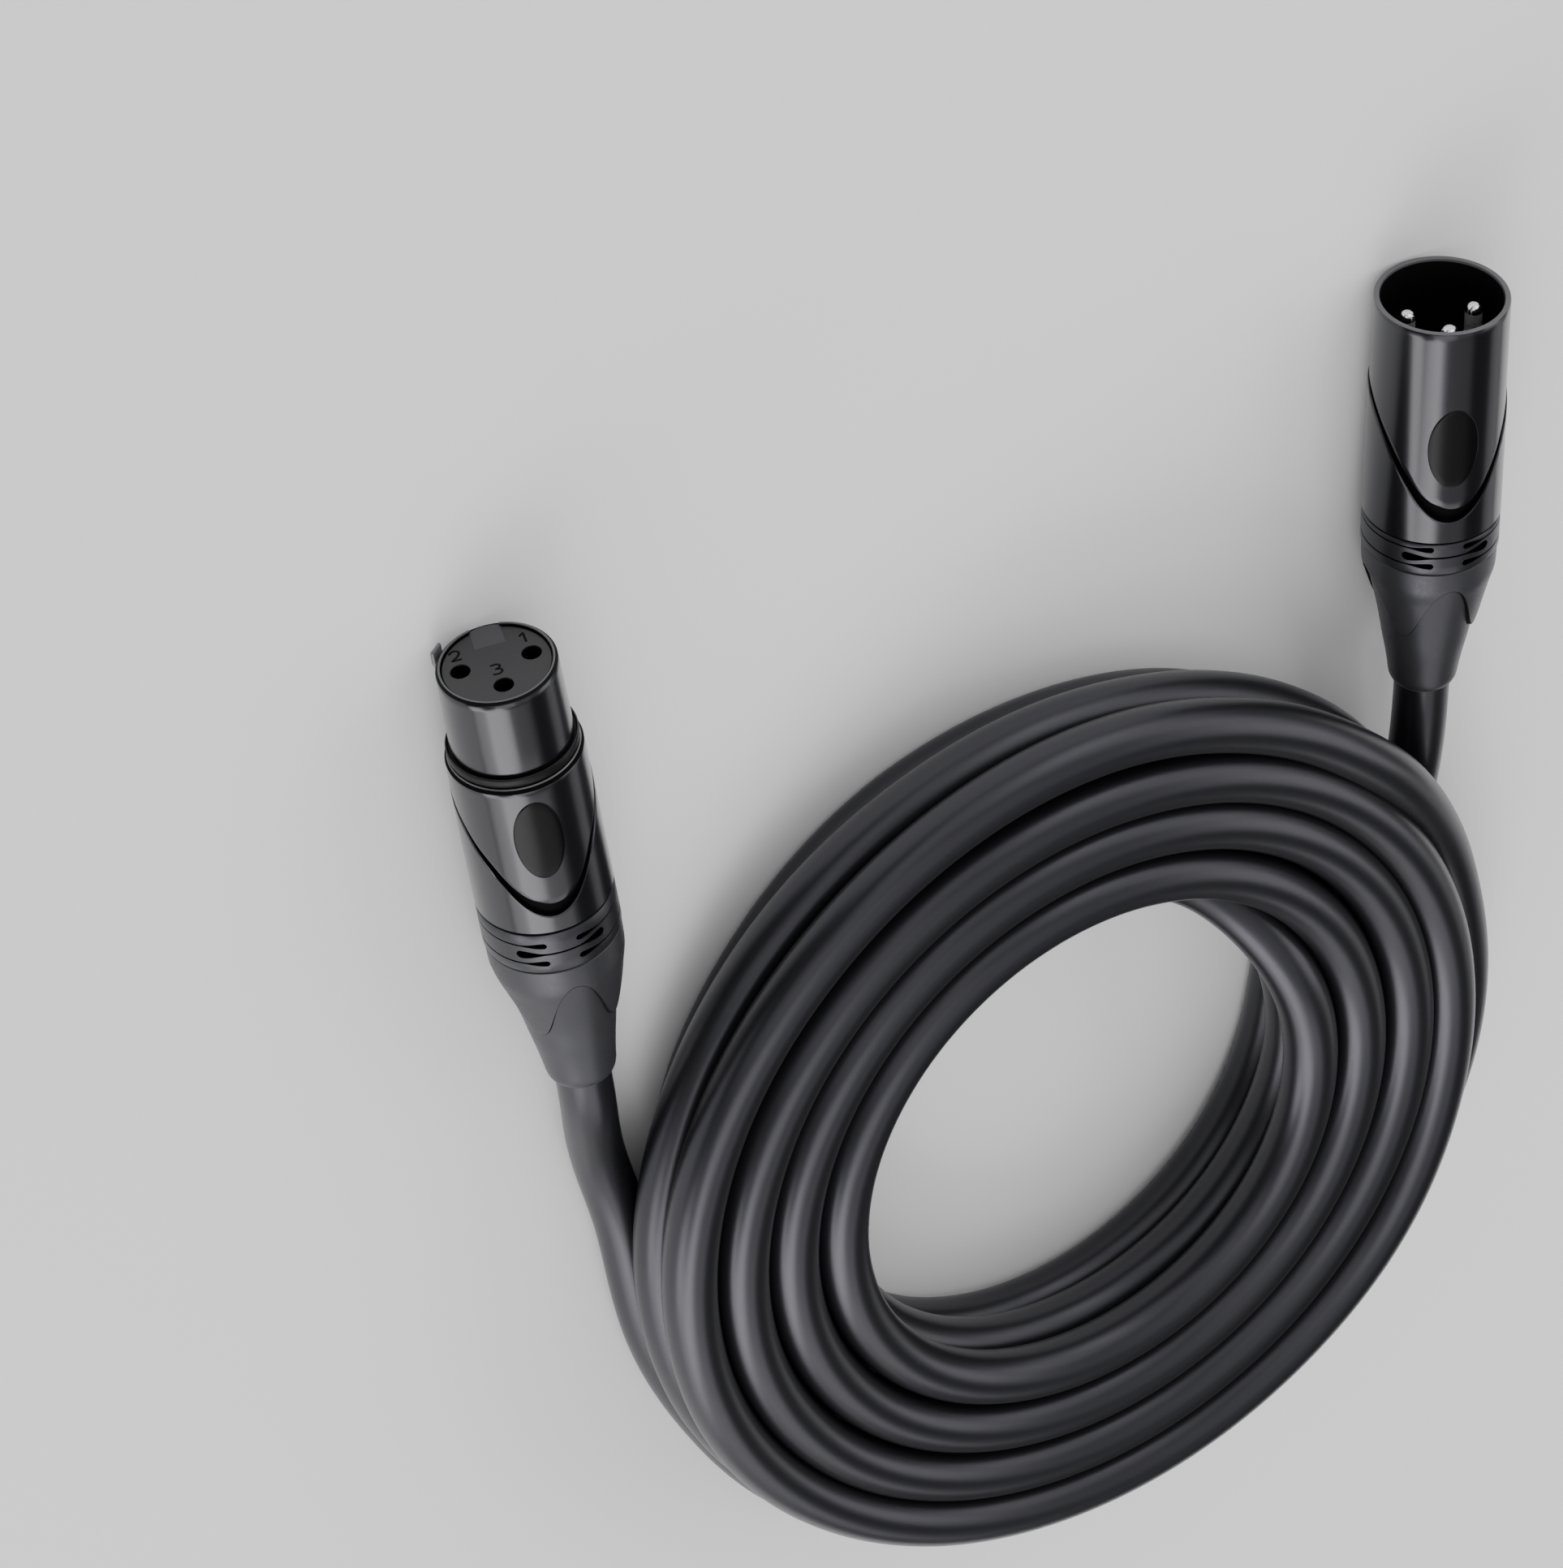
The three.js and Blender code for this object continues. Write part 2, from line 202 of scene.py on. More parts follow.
def winding():
    """Turns of the coil as (angle in degrees, distance from the middle, height), in order."""
    keys = [(0, 62.7, LOW), (13, 62.5, LOW), (25, 63.0, LOW), (37, 65.0, 3.8), (50, 67.4, 4.1), (63, 69.0, 4.7),
            (78, 70.0, 5.7), (95, 69.8, 7.2), (113, 68.8, 8.8), (130, 67.6, 10.1), (145, 66.8, 11.0),
            (156, 66.4, 11.35), (163, 66.0, 11.45), (171, 65.2, 11.7), (179, 64.3, 12.3), (188, 63.8, 13.4),
            (196, 63.4, 15.2), (203, 63.3, 17.0), (210, 63.6, 18.4), (218, 63.6, TOP), (227, 64.2, TOP),
            (240, 65.0, TOP), (255, 66.1, TOP), (270, 66.4, TOP), (285, 66.1, TOP), (300, 65.5, TOP),
            (313, 65.1, TOP), (326, 64.6, TOP), (343, 63.7, TOP), (358, 63.0, TOP), (376, 62.3, TOP),
            (395, 61.6, TOP)]
    for angle in range(420, 1600, 24):                      # the four upper turns, going inwards
        r = 66.75 - 7.8 * (angle - 185) / 360
        if angle < 550:
            r = np.interp(angle, [395, 496, 520, 550], [61.6, 60.4, 58.6, 57.6])
        elif angle < 640:
            r -= np.interp(angle, [550, 600, 640], [1.3, 0.5, 0.0])
        keys.append((angle, r, TOP))
    turn = 1440
    keys += [(turn + a, r, z) for a, r, z in (
        (170, 35.85, TOP), (183, 35.75, 18.9), (192, 35.8, 18.3), (201, 36.0, 17.0), (210, 36.4, 15.0),
        (219, 36.9, 13.0), (228, 37.5, 11.8), (238, 37.9, 11.4))]
    keys += [(turn + a, 38.0, MIDDLE) for a in range(255, 530, 25)]
    turn += 360
    keys += [(turn + a, r, z) for a, r, z in (
        (176, 38.0, 11.2), (185, 38.2, 10.0), (193, 38.5, 8.0), (201, 38.9, 6.2), (210, 39.3, 4.7),
        (220, 39.7, 3.9))]
    keys += [(turn + a, 39.8, LOW) for a in range(240, 525, 25)]
    turn += 360
    keys += [(turn + a, r, LOW) for a, r in ((170, 40.2), (180, 41.8), (190, 44.2), (200, 46.3), (210, 47.3))]
    keys += [(turn + a, 47.4, LOW) for a in range(235, 515, 25)]
    turn += 360
    keys += [(turn + a, r, LOW) for a, r in (
        (165, 47.8), (178, 49.2), (190, 51.8), (203, 55.2), (217, 58.0), (232, 59.9), (245, 60.6), (258, 60.8),
        (272, 60.95), (285, 60.8), (296, 60.0), (309, 58.9), (321, 58.25), (331, 57.6), (341, 56.4), (350, 55.4),
        (360, 54.95))]
    turn += 360
    keys += [(turn + a, r, z) for a, r, z in (
        (15, 54.9, LOW), (32, 54.9, 4.1), (50, 55.0, 5.5), (70, 55.0, 7.4), (90, 55.0, 9.3), (110, 55.0, 10.8),
        (130, 55.0, MIDDLE), (155, 55.0, MIDDLE), (175, 55.0, MIDDLE), (184, 55.5, MIDDLE), (191, 56.7, MIDDLE),
        (197, 58.7, MIDDLE), (203, 60.7, MIDDLE), (210, 62.2, MIDDLE), (218, 63.0, MIDDLE), (228, 63.8, MIDDLE),
        (239, 64.6, MIDDLE), (249, 65.1, MIDDLE), (260, 65.8, MIDDLE), (279, 66.2, MIDDLE), (298, 66.2, MIDDLE),
        (317, 65.2, MIDDLE), (333, 64.0, MIDDLE), (346, 63.3, MIDDLE), (360, 62.75, MIDDLE),
        (375, 62.45, MIDDLE), (387, 62.4, 11.3), (402, 62.3, 10.6), (417, 62.3, 9.2), (432, 62.5, 7.4),
        (447, 62.4, 5.9), (462, 62.0, 4.7), (478, 61.2, 4.0), (494, 60.0, LOW), (510, 58.7, LOW),
        (520, 57.9, LOW))]
    return np.array(keys, float)


def catmull(keys, values, at):
    """Smooth values between unevenly spaced keys."""
    slope = np.gradient(values, keys)
    i = np.clip(np.searchsorted(keys, at) - 1, 0, len(keys) - 2)
    h = keys[i + 1] - keys[i]
    u = (at - keys[i]) / h
    a = (2 * u ** 3 - 3 * u ** 2 + 1) * values[i] + (u ** 3 - 2 * u ** 2 + u) * h * slope[i]
    b = (3 * u ** 2 - 2 * u ** 3) * values[i + 1] + (u ** 3 - u ** 2) * h * slope[i + 1]
    return a + b


def smooth(values, width):
    """A moving average with bell weights, with both ends kept."""
    reach = int(3 * width)
    weight = np.exp(-0.5 * (np.arange(-reach, reach + 1) / width) ** 2)
    weight /= weight.sum()
    start = 2 * values[0] - values[reach:0:-1]
    end = 2 * values[-1] - values[-2:-reach - 2:-1]
    return np.convolve(np.concatenate([start, values, end]), weight, "valid")


def cable_path(step=1.6):
    """The cable's centre line from the female boot to the male boot, in mm."""
    keys = winding()
    angle = np.arange(keys[0, 0], keys[-1, 0], 2.0)
    r = catmull(keys[:, 0], keys[:, 1], angle)
    z = catmull(keys[:, 0], keys[:, 2], angle)
    heading = np.radians(angle) + COIL_TURN
    coil = np.stack([COIL_X + r * np.cos(heading), COIL_Y + r * np.sin(heading), z], 1)
    rough = np.concatenate([np.array(FEMALE_LEAD), coil, np.array(MALE_LEAD)])
    along = np.concatenate([[0], np.cumsum(np.linalg.norm(np.diff(rough, axis=0), axis=1))])
    at = np.linspace(0, along[-1], int(along[-1] / step))
    return np.stack([smooth(catmull(along, rough[:, k], at), 2.6) for k in range(3)], 1)


def tube(line, radius, around):
    """Rings of points square to a line, carried along it without twist."""
    ahead = np.gradient(line, axis=0)
    ahead /= np.linalg.norm(ahead, axis=1)[:, None]
    side = np.cross(ahead[0], (0, 0, 1.0))
    side /= np.linalg.norm(side)
    spin = np.linspace(0, 2 * np.pi, around, endpoint=False)
    rings = []
    for centre, way in zip(line, ahead):
        side = side - way * side.dot(way)
        side /= np.linalg.norm(side)
        other = np.cross(way, side)
        rings.append(centre + radius * (np.cos(spin)[:, None] * side + np.sin(spin)[:, None] * other))
    return np.concatenate(rings)


def grid_faces(rows, around, loop=False):
    """Faces between closed rings of points; loop joins the last ring to the first."""
    faces = []
    for i in range(rows if loop else rows - 1):
        a, b = i * around, ((i + 1) % rows) * around
        for j in range(around):
            k = (j + 1) % around
            faces.append((a + j, a + k, b + k, b + j))
    return faces


def make_cable():
    """The whole cable as one cord, from boot to boot, closed at both ends."""
    line = cable_path()
    verts = tube(line, CABLE_R, CABLE_SIDES) * MM
    faces = grid_faces(len(line), CABLE_SIDES)
    faces.append(tuple(reversed(range(CABLE_SIDES))))
    faces.append(tuple(range((len(line) - 1) * CABLE_SIDES, len(line) * CABLE_SIDES)))
    obj = add("cable", verts, faces, [JACKET], ("female_lead", "cable_coil", "male_lead"), sharp=60)


make_cable()

# ---- turned pieces of the connectors ------------------------------------------------------
AXIS_H = 9.4
MALE = Matrix.Translation(Vector((-72.28, -38.25, AXIS_H)))
FEMALE = Matrix.Translation(Vector((73.77, -33.83, AXIS_H))) @ Matrix.Rotation(math.radians(10.82), 4, "Z")
TILT = -19.0                          # angle of the middle of the pattern, from the top


def at(place, t, r, angle):
    """A point by distance from the mating face, distance from the axis and angle from the top."""
    a = math.radians(angle)
    return place @ Vector((-r * math.sin(a), t, r * math.cos(a))) * MM


def turned(name, place, rows, mats, around=120, which=None, loop=True, angles=None, **more):
    """rows are functions of the angle, or fixed pairs, that give (distance, radius)."""
    verts, kinds = [], []
    angles = angles or [360 * j / around for j in range(around)]
    around = len(angles)
    for row in rows:
        for angle in angles:
            t, r = row(angle) if callable(row) else row
            verts.append(at(place, t, r, angle))
    faces = grid_faces(len(rows), around, loop)
    if which is not None:
        for i in range(len(rows) if loop else len(rows) - 1):
            kinds += [which[i]] * around
    return add(name, verts, faces, mats, which=kinds or None, **more)


def relative(angle):
    """Angle from the middle of the pattern, from -180 to 180."""
    return (angle - TILT + 180) % 360 - 180


class Edge:
    """Where a raised sleeve begins, by angle. The body's core begins at start."""

    def __init__(self, table, start):
        xs = np.array([row[0] for row in table], float)
        ys = np.array([row[1] for row in table], float)
        # mirrored at both ends, so the curve is smooth all the way round
        self.xs = np.concatenate([-xs[:0:-1], xs, 360 - xs[-2::-1]])
        self.ys = np.concatenate([ys[:0:-1], ys, ys[-2::-1]])
        self.start = start

    def __call__(self, angle):
        return float(catmull(self.xs, self.ys, np.array([abs(relative(angle))]))[0])


def shell_rows(edge, recess, body_end, core, sleeve):
    """Outer rows of a body: core, recess with painted shade, step and raised sleeve. Returns rows and kinds; kind
    1 marks the recess's painted shade.
    """
    rows, kinds = [], []

    def width(angle):
        rel = min(abs(relative(angle + 10)), 100) / 100
        return recess * (1 - rel) ** 1.1 + 0.3

    for share in np.linspace(0, 1, 26)[1:]:
        rows.append(lambda a, s=share: (edge.start + (edge(a) - width(a) - edge.start) * s, core))
        kinds.append(0)
    for wide, ahead, r in ((1, 0.12, core - 0.03), (0.72, 0, core - 0.34), (0.35, 0, core - 0.52),
                           (0, -0.06, core - 0.55), (0, 0, sleeve - 0.16), (0, 0.06, sleeve - 0.04),
                           (0, 0.2, sleeve)):
        rows.append(lambda a, w=wide, d=ahead, r=r: (edge(a) - width(a) * w + d, r))
    kinds += [1, 1, 1, 1, 0, 0, 0]
    for share in np.linspace(0, 1, 22)[1:]:
        rows.append(lambda a, s=share: (edge(a) + 0.2 + (body_end - 0.15 - edge(a) - 0.2) * s, sleeve))
        kinds.append(0)
    return rows, kinds


def make_inlay(name, place, middle, half_length, half_width, radius, node):
    """An oval plate bent round the body, with a rounded rim."""
    verts, faces = [], []
    around, rings = 64, [(1.0, -0.25), (1.0, 0.03), (0.985, 0.09), (0.95, 0.11), (0.8, 0.115), (0.6, 0.118),
                         (0.4, 0.12), (0.2, 0.12)]
    for size, rise in rings:
        for j in range(around):
            s = 2 * math.pi * j / around
            t = middle + half_length * size * math.cos(s)
            across = half_width * size * math.sin(s)
            verts.append(at(place, t, radius + rise, TILT + math.degrees(across / radius)))
    faces = grid_faces(len(rings), around)
    verts.append(at(place, middle, radius + 0.12, TILT))
    last = (len(rings) - 1) * around
    for j in range(around):
        faces.append((last + j, last + (j + 1) % around, len(verts) - 1))
    return add(name, verts, faces, [INLAY], (node,), sharp=50)


def slot_half(inside, tip_len, tip_half, thin_half):
    """Half the width of a slot at a distance inside its end. The ends are teardrops."""
    if inside <= 0:
        return 0.0
    if inside < tip_half:
        return math.sqrt(tip_half ** 2 - (tip_half - inside) ** 2)
    grow = max(0.0, 1 - (inside - tip_half) / tip_len)
    return thin_half + (tip_half - thin_half) * grow * grow * (3 - 2 * grow)


def make_band(name, place, start, end, radius, lines, node):
    """The gland ring, with three rows of slots that end in teardrops."""
    around, deep = 900, 0.8
    upper, middle, lower = lines

    def from_slot(angle):
        """Angle from the middle of the nearest middle slot; the pattern repeats at the back."""
        return (angle - TILT + 90) % 180 - 90

    def middle_slot(angle):
        arc = math.radians(from_slot(angle)) * radius
        return middle - 0.02 * arc, slot_half(math.radians(39.5) * radius - abs(arc), 3.6, 0.66, 0.15)

    def side_slot(centre):
        def slot(angle):
            far = math.radians(90 - abs(from_slot(angle))) * radius
            return centre, slot_half(math.radians(77.5) * radius - far, 3.2, 0.46, 0.13)
        return slot

    slots = (side_slot(upper), middle_slot, side_slot(lower))

    def slot_row(slot, side, inset, depth):
        def row(angle):
            centre, half = slot(angle)
            ease = min(1.0, half / 0.1)
            half = max(half, 0.004)
            return centre + side * (half - inset * min(half, 0.1)), radius - depth * ease
        return row

    rows = [(start, radius - 0.9), (start, radius - 0.16), (start + 0.05, radius - 0.05), (start + 0.16, radius)]
    which = [0, 0, 0, 0]
    for slot in slots:
        rows += [slot_row(slot, -1, 0.0, 0.0), slot_row(slot, -1, 0.25, 0.07), slot_row(slot, -1, 0.4, deep),
                 slot_row(slot, 1, 0.4, deep), slot_row(slot, 1, 0.25, 0.07), slot_row(slot, 1, 0.0, 0.0)]
        # the insides of the slots carry painted shade
        which += [0, 1, 1, 1, 0, 0]
    rows += [(end - 0.16, radius), (end - 0.05, radius - 0.05), (end, radius - 0.16), (end, 7.0), (start, 7.0)]
    which += [0, 0, 0, 0, 0]
    return turned(name, place, rows, [BAND, SHADE_PAINT], around=around, which=which, replaces=(node,), sharp=35)


def make_boot(name, place, start, end, skirt, cone, wave, node):
    """The flexible boot: a skirt with a waved edge over a slimmer cone."""
    skirt_t, skirt_r = np.array([p[0] for p in skirt], float), np.array([p[1] for p in skirt], float)
    cone_t, cone_r = np.array([p[0] for p in cone], float), np.array([p[1] for p in cone], float)
    crest, trough = wave

    def edge(angle):
        u = 0.5 - 0.5 * math.cos(math.radians(4 * (angle + 14.3)))
        return crest + (trough - crest) * u ** 1.15

    def upper(t):
        return float(catmull(skirt_t, skirt_r, np.array([t]))[0])

    def lower(t):
        return float(catmull(cone_t, cone_r, np.array([t]))[0])

    def skirt_row(share):
        def row(a):
            t = start + 0.12 + (edge(a) - 0.2 - start - 0.12) * share
            return t, upper(t)
        return row

    def cone_row(share):
        def row(a):
            t = edge(a) + 0.21 + (end - 1.4 - edge(a) - 0.21) * share
            return t, lower(t)
        return row

    rows = [(start, 7.0), (start, skirt_r[0] - 0.12), (start + 0.12, skirt_r[0])]
    rows += [skirt_row(share) for share in np.linspace(0, 1, 18)[1:]]
    rows.append(lambda a: (edge(a) - 0.06, upper(edge(a)) - 0.05))
    rows.append(lambda a: (edge(a), upper(edge(a)) - 0.16))
    line = len(rows) - 1
    rows.append(lambda a: (edge(a) + 0.10, lower(edge(a)) - 0.16))
    rows.append(lambda a: (edge(a) + 0.21, lower(edge(a) + 0.21)))
    rows += [cone_row(share) for share in np.linspace(0, 1, 22)[1:]]
    tip = lower(end - 1.4)
    rows += [(end - 0.8, tip - 0.14), (end - 0.35, tip - 0.34), (end - 0.08, tip - 0.6), (end, CABLE_R + 0.42),
             (end - 0.15, CABLE_R + 0.15), (end - 3, CABLE_R + 0.12), (end - 12, CABLE_R + 0.2)]
    which = [1 if line - 2 <= k < line + 2 else 0 for k in range(len(rows))]      # painted shadow along the skirt's edge, where it overhangs the cone
    return turned(name, place, rows, [BOOT, BLACK_AND_SHADE], around=360, which=which, replaces=(node,), sharp=26)


# ---- male connector -----------------------------------------------------------------------
CONTACTS = [(-4.6, -0.5), (4.6, -0.5), (0.0, 4.0)]      # the three contacts (across, up)


def rolled(across, up):
    """A contact's place (radius, angle from the top), with the connector's roll."""
    return math.hypot(across, up), -math.degrees(math.atan2(across, up)) + TILT


def make_male():
    edge = Edge([(0, 30.5), (14, 29.8), (28, 27.6), (38, 25.2), (49, 22.5), (58, 20.2), (69, 17.8), (90, 14.4),
                 (120, 12.9), (150, 12.5), (180, 12.4)], 0.25)
    rows, kinds = shell_rows(edge, 2.1, 33.95, 9.14, 9.34)
    front = [(15.6, 8.24), (8.0, 8.25), (0.35, 8.27), (0.06, 8.36), (0.0, 8.45), (0.0, 8.98), (0.07, 9.08),
             (0.25, 9.14)]
    back = [(33.95, 9.22), (33.95, 8.3), (33.5, 8.15), (15.6, 8.15)]
    # painted shade inside the cup, in the recess and on a hidden inner strip; painted highlight on the mouth's rim
    which = [1, 1, 2, 2, 2, 2, 0, 0] + [3 if k else 0 for k in kinds] + [0, 0, 0, 1]
    turned("male_body", MALE, front + rows + back, [SHELL, BLACK_AND_SHADE, RIM_HIGHLIGHT, SHADE_PAINT], around=180, which=which,
           replaces=("male_shell",), sharp=28)
    make_inlay("male_badge", MALE, 18.6, 6.2, 3.55, 9.14, "male_inlay")
    make_band("male_ring", MALE, 34.15, 39.1, 9.28, (35.0, 36.3, 37.7), "male_bushing")
    make_boot("male_sleeve", MALE, 39.35, 62.3,
              [(39, 9.06), (41, 9.06), (42.6, 8.98), (44.9, 8.4), (48, 7.7), (52, 6.85)],
              [(40, 8.65), (42.4, 8.5), (44.9, 7.9), (48, 7.15), (52, 6.3), (54.8, 5.8), (57.8, 5.2),
               (60.9, 4.72), (62.3, 4.6)], (42.5, 51.5), "male_boot")
    for i, (across, up) in enumerate(CONTACTS):
        r, angle = rolled(across, up)
        centre = at(Matrix.Identity(4), 0, r, angle)
        place = MALE @ Matrix.Translation(centre / MM)
        rows = [(2.2, 0.02), (2.21, 0.22), (2.27, 0.48), (2.42, 0.78), (2.68, 1.0), (3.05, 1.14), (3.5, 1.19),
                (4.5, 1.2), (15.0, 1.2), (26.0, 1.2), (27.4, 1.2), (27.4, 0.02)]
        # silver tips; the shafts carry a painted grey sheen
        turned(f"male_contact_{i + 1}", place, rows, [SILVER, SHAFT_SHEEN], around=32, loop=False,
               which=[0] * 6 + [1] * 5, replaces=(f"male_pin_{i + 1}",), sharp=50)


# ---- female connector ---------------------------------------------------------------------
KEY_ANGLE = 180 + TILT                # middle of the key slot
KEY_HALF = 2.05
FLOOR = 0.52                          # how far the key slot's floor lies behind the rim


def spaced_angles(step, *edges):
    """Even angles round the axis with a close pair of extra ones at each edge."""
    out = {round(k * step, 4) for k in range(int(360 / step))}
    for edge in edges:
        out -= {a for a in out if abs(a - edge) < 0.3}
        out |= {round(edge - 0.06, 4), round(edge + 0.06, 4)}
    return sorted(out)


def make_nose():
    """The narrow front of the shell, with the key slot cut through its rim."""
    reach = math.degrees(math.asin(KEY_HALF / 7.8))
    edges = (KEY_ANGLE - reach, KEY_ANGLE + reach)

    def rim(t, r):
        return lambda a: (max(t, FLOOR) if edges[0] < a < edges[1] else t, r)

    rows = [(12.3, 7.62), (1.6, 7.62), rim(0.9, 7.34), rim(0.12, 7.33), rim(0.03, 7.37), rim(0.0, 7.43),
            rim(0.0, 7.56), rim(0.03, 7.63), rim(0.34, 7.95), rim(0.42, 8.0), (1.4, 8.01), (5, 8.05), (9, 8.1),
            (12.2, 8.14), (12.42, 8.13), (12.5, 8.05), (12.9, 8.0), (13.6, 8.0), (13.6, 7.62)]
    # the rim's face carries a painted highlight and the chamfer behind it painted shade
    which = [0, 0, 0, 1, 1, 1, 1, 2] + [0] * 11
    turned("female_nose", FEMALE, rows, [SHELL, RIM_HIGHLIGHT, BLACK_AND_SHADE], angles=spaced_angles(2.0, *edges),
           which=which, sharp=34)
    rows = [(13.0, 8.05), (13.0, 8.4), (12.82, 8.5), (12.7, 8.6), (12.7, 8.66), (12.8, 8.73), (12.95, 8.76),
            (13.5, 8.76), (13.95, 8.72), (14.05, 8.6), (14.3, 8.5), (14.3, 8.05)]
    # the ring's thin edge carries a painted highlight
    turned("female_seal", FEMALE, rows, [RUBBER, RIM_HIGHLIGHT], which=[0, 0, 1, 1] + [0] * 8,
           replaces=("female_seal_ring",), sharp=50)


def from_bmesh(name, bm, mat, body, sharp, bevel=0.0, limit=40):
    """A piece from a finished bmesh. bevel rounds the edges sharper than limit degrees."""
    bmesh.ops.recalc_face_normals(bm, faces=bm.faces)
    mesh = bpy.data.meshes.new(name)
    bm.to_mesh(mesh)
    bm.free()
    mesh.materials.append(mat)
    mesh.shade_smooth()
    mesh.set_sharp_from_angle(angle=math.radians(sharp))
    obj = bpy.data.objects.new(name, mesh)
    bpy.context.scene.collection.objects.link(obj)
    if bevel:
        mod = obj.modifiers.new("bevel", "BEVEL")
        mod.width = bevel * MM
        mod.segments = 3
        mod.angle_limit = math.radians(limit)
    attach(obj, body)
    return obj


def flat(name, place, outline, holes, front, back, mat, bevel=0.0):
    """A flat piece with holes, drawn across the axis, between two distances."""
    bm = bmesh.new()

    def loop(points, t):
        ring = [bm.verts.new(place @ Vector((x, t, z)) * MM) for x, z in points]
        return ring, [bm.edges.new((ring[k], ring[(k + 1) % len(ring)])) for k in range(len(ring))]

    fronts, backs, edges_front, edges_back = [], [], [], []
    for points in [outline] + holes:
        ring, edges = loop(points, front)
        fronts.append(ring)
        edges_front += edges
        ring, edges = loop(points, back)
        backs.append(ring)
        edges_back += edges
    bmesh.ops.triangle_fill(bm, use_beauty=True, edges=edges_front)
    bmesh.ops.triangle_fill(bm, use_beauty=True, edges=edges_back)
    for one, two in zip(fronts, backs):
        for k in range(len(one)):
            j = (k + 1) % len(one)
            bm.faces.new((one[k], one[j], two[j], two[k]))
    bmesh.ops.recalc_face_normals(bm, faces=bm.faces)
    bmesh.ops.dissolve_limit(bm, angle_limit=math.radians(1), verts=bm.verts, edges=bm.edges)
    return from_bmesh(name, bm, mat, BODY, 35, bevel)


def circle(x, z, r, count=48):
    return [(x + r * math.cos(2 * math.pi * k / count), z + r * math.sin(2 * math.pi * k / count))
            for k in range(count)]


ROLLED = FEMALE @ Matrix.Rotation(math.radians(-TILT), 4, "Y")


def make_face():
    """The insulator's face: a disc with three holes and the shallow key slot, and its numerals."""
    r, low = 7.14, 3.9
    side = math.degrees(math.asin(KEY_HALF / r))
    outline = [(KEY_HALF, -low), (-KEY_HALF, -low)]
    for k in range(101):
        a = math.radians(-90 - side - (360 - 2 * side) * k / 100)
        outline.append((r * math.cos(a), r * math.sin(a)))
    holes = [circle(x * 1.03, z * 1.02, 1.33) for x, z in CONTACTS]
    flat("female_face", ROLLED, outline, holes, 0.42, 0.7, INSERT, bevel=0.07)
    slot = [(KEY_HALF + 0.1, -low + 0.2), (-KEY_HALF - 0.1, -low + 0.2), (-KEY_HALF - 0.1, -7.3),
            (-1.0, -7.72), (0, -7.8), (1.0, -7.72), (KEY_HALF + 0.1, -7.3)]
    # the slot's floor is a lighter copy of the insert: painted light
    flat("female_key_floor", ROLLED, slot, [], FLOOR - 0.05, FLOOR + 0.5, INSERT_PAINTED_LIGHT)
    for digit, x, z in ((1, -5.3, -2.0), (2, 3.3, -4.95), (3, 0.5, 0.75)):
        make_digit(digit, x, z)


# Strokes of the numerals as (across, up), one unit tall.
STROKES = {
    1: [(-0.30, 0.74), (0.10, 1.0), (0.10, 0.0)],
    2: [(-0.42, 0.74), (-0.34, 0.90), (-0.12, 1.0), (0.14, 1.0), (0.36, 0.88), (0.40, 0.68), (0.28, 0.48),
        (0.02, 0.26), (-0.42, 0.02), (0.44, 0.02)],
    3: [(-0.40, 0.98), (0.10, 1.0), (0.34, 0.90), (0.36, 0.68), (0.20, 0.55), (-0.12, 0.53), (0.22, 0.50),
        (0.42, 0.36), (0.40, 0.14), (0.20, 0.0), (-0.10, -0.02), (-0.42, 0.06)],
}


def make_digit(digit, x, z):
    """A moulded numeral as a ribbon on the face, its top toward the key slot."""
    up = Vector((-0.292, 0, -0.956))
    right = Vector((-0.956, 0, 0.292))
    tall, half = 1.85, 0.19
    points = [Vector((x, 0, z)) + right * (u * tall * 0.86) + up * ((v - 0.5) * tall)
              for u, v in STROKES[digit]]
    line = []
    for one, two in zip(points, points[1:]):
        steps = max(2, int((two - one).length / 0.12))
        line += [one.lerp(two, k / steps) for k in range(steps)]
    line.append(points[-1])
    for _ in range(0 if digit == 1 else 2):
        line = [line[0]] + [(a + b * 2 + c) / 4 for a, b, c in zip(line, line[1:], line[2:])] + [line[-1]]
    verts, faces = [], []
    for k, p in enumerate(line):
        way = (line[min(k + 1, len(line) - 1)] - line[max(k - 1, 0)]).normalized()
        off = Vector((way.z, 0, -way.x)) * half
        for q, t in ((p + off, 0.45), (p + off * 0.8, 0.405), (p - off * 0.8, 0.405), (p - off, 0.45)):
            verts.append(FEMALE @ Vector((q.x, t, q.z)) * MM)
    for k in range(len(line) - 1):
        a, b = 4 * k, 4 * k + 4
        faces += [(a + j, a + (j + 1) % 4, b + (j + 1) % 4, b + j) for j in range(4)]
    faces += [(3, 2, 1, 0), tuple(4 * (len(line) - 1) + j for j in range(4))]
    add(f"female_digit_{digit}", verts, faces, [INK], sharp=60)


LATCH_TURN = 150                      # the lever's place round the axis, from the top
LATCH_HALF = 1.1


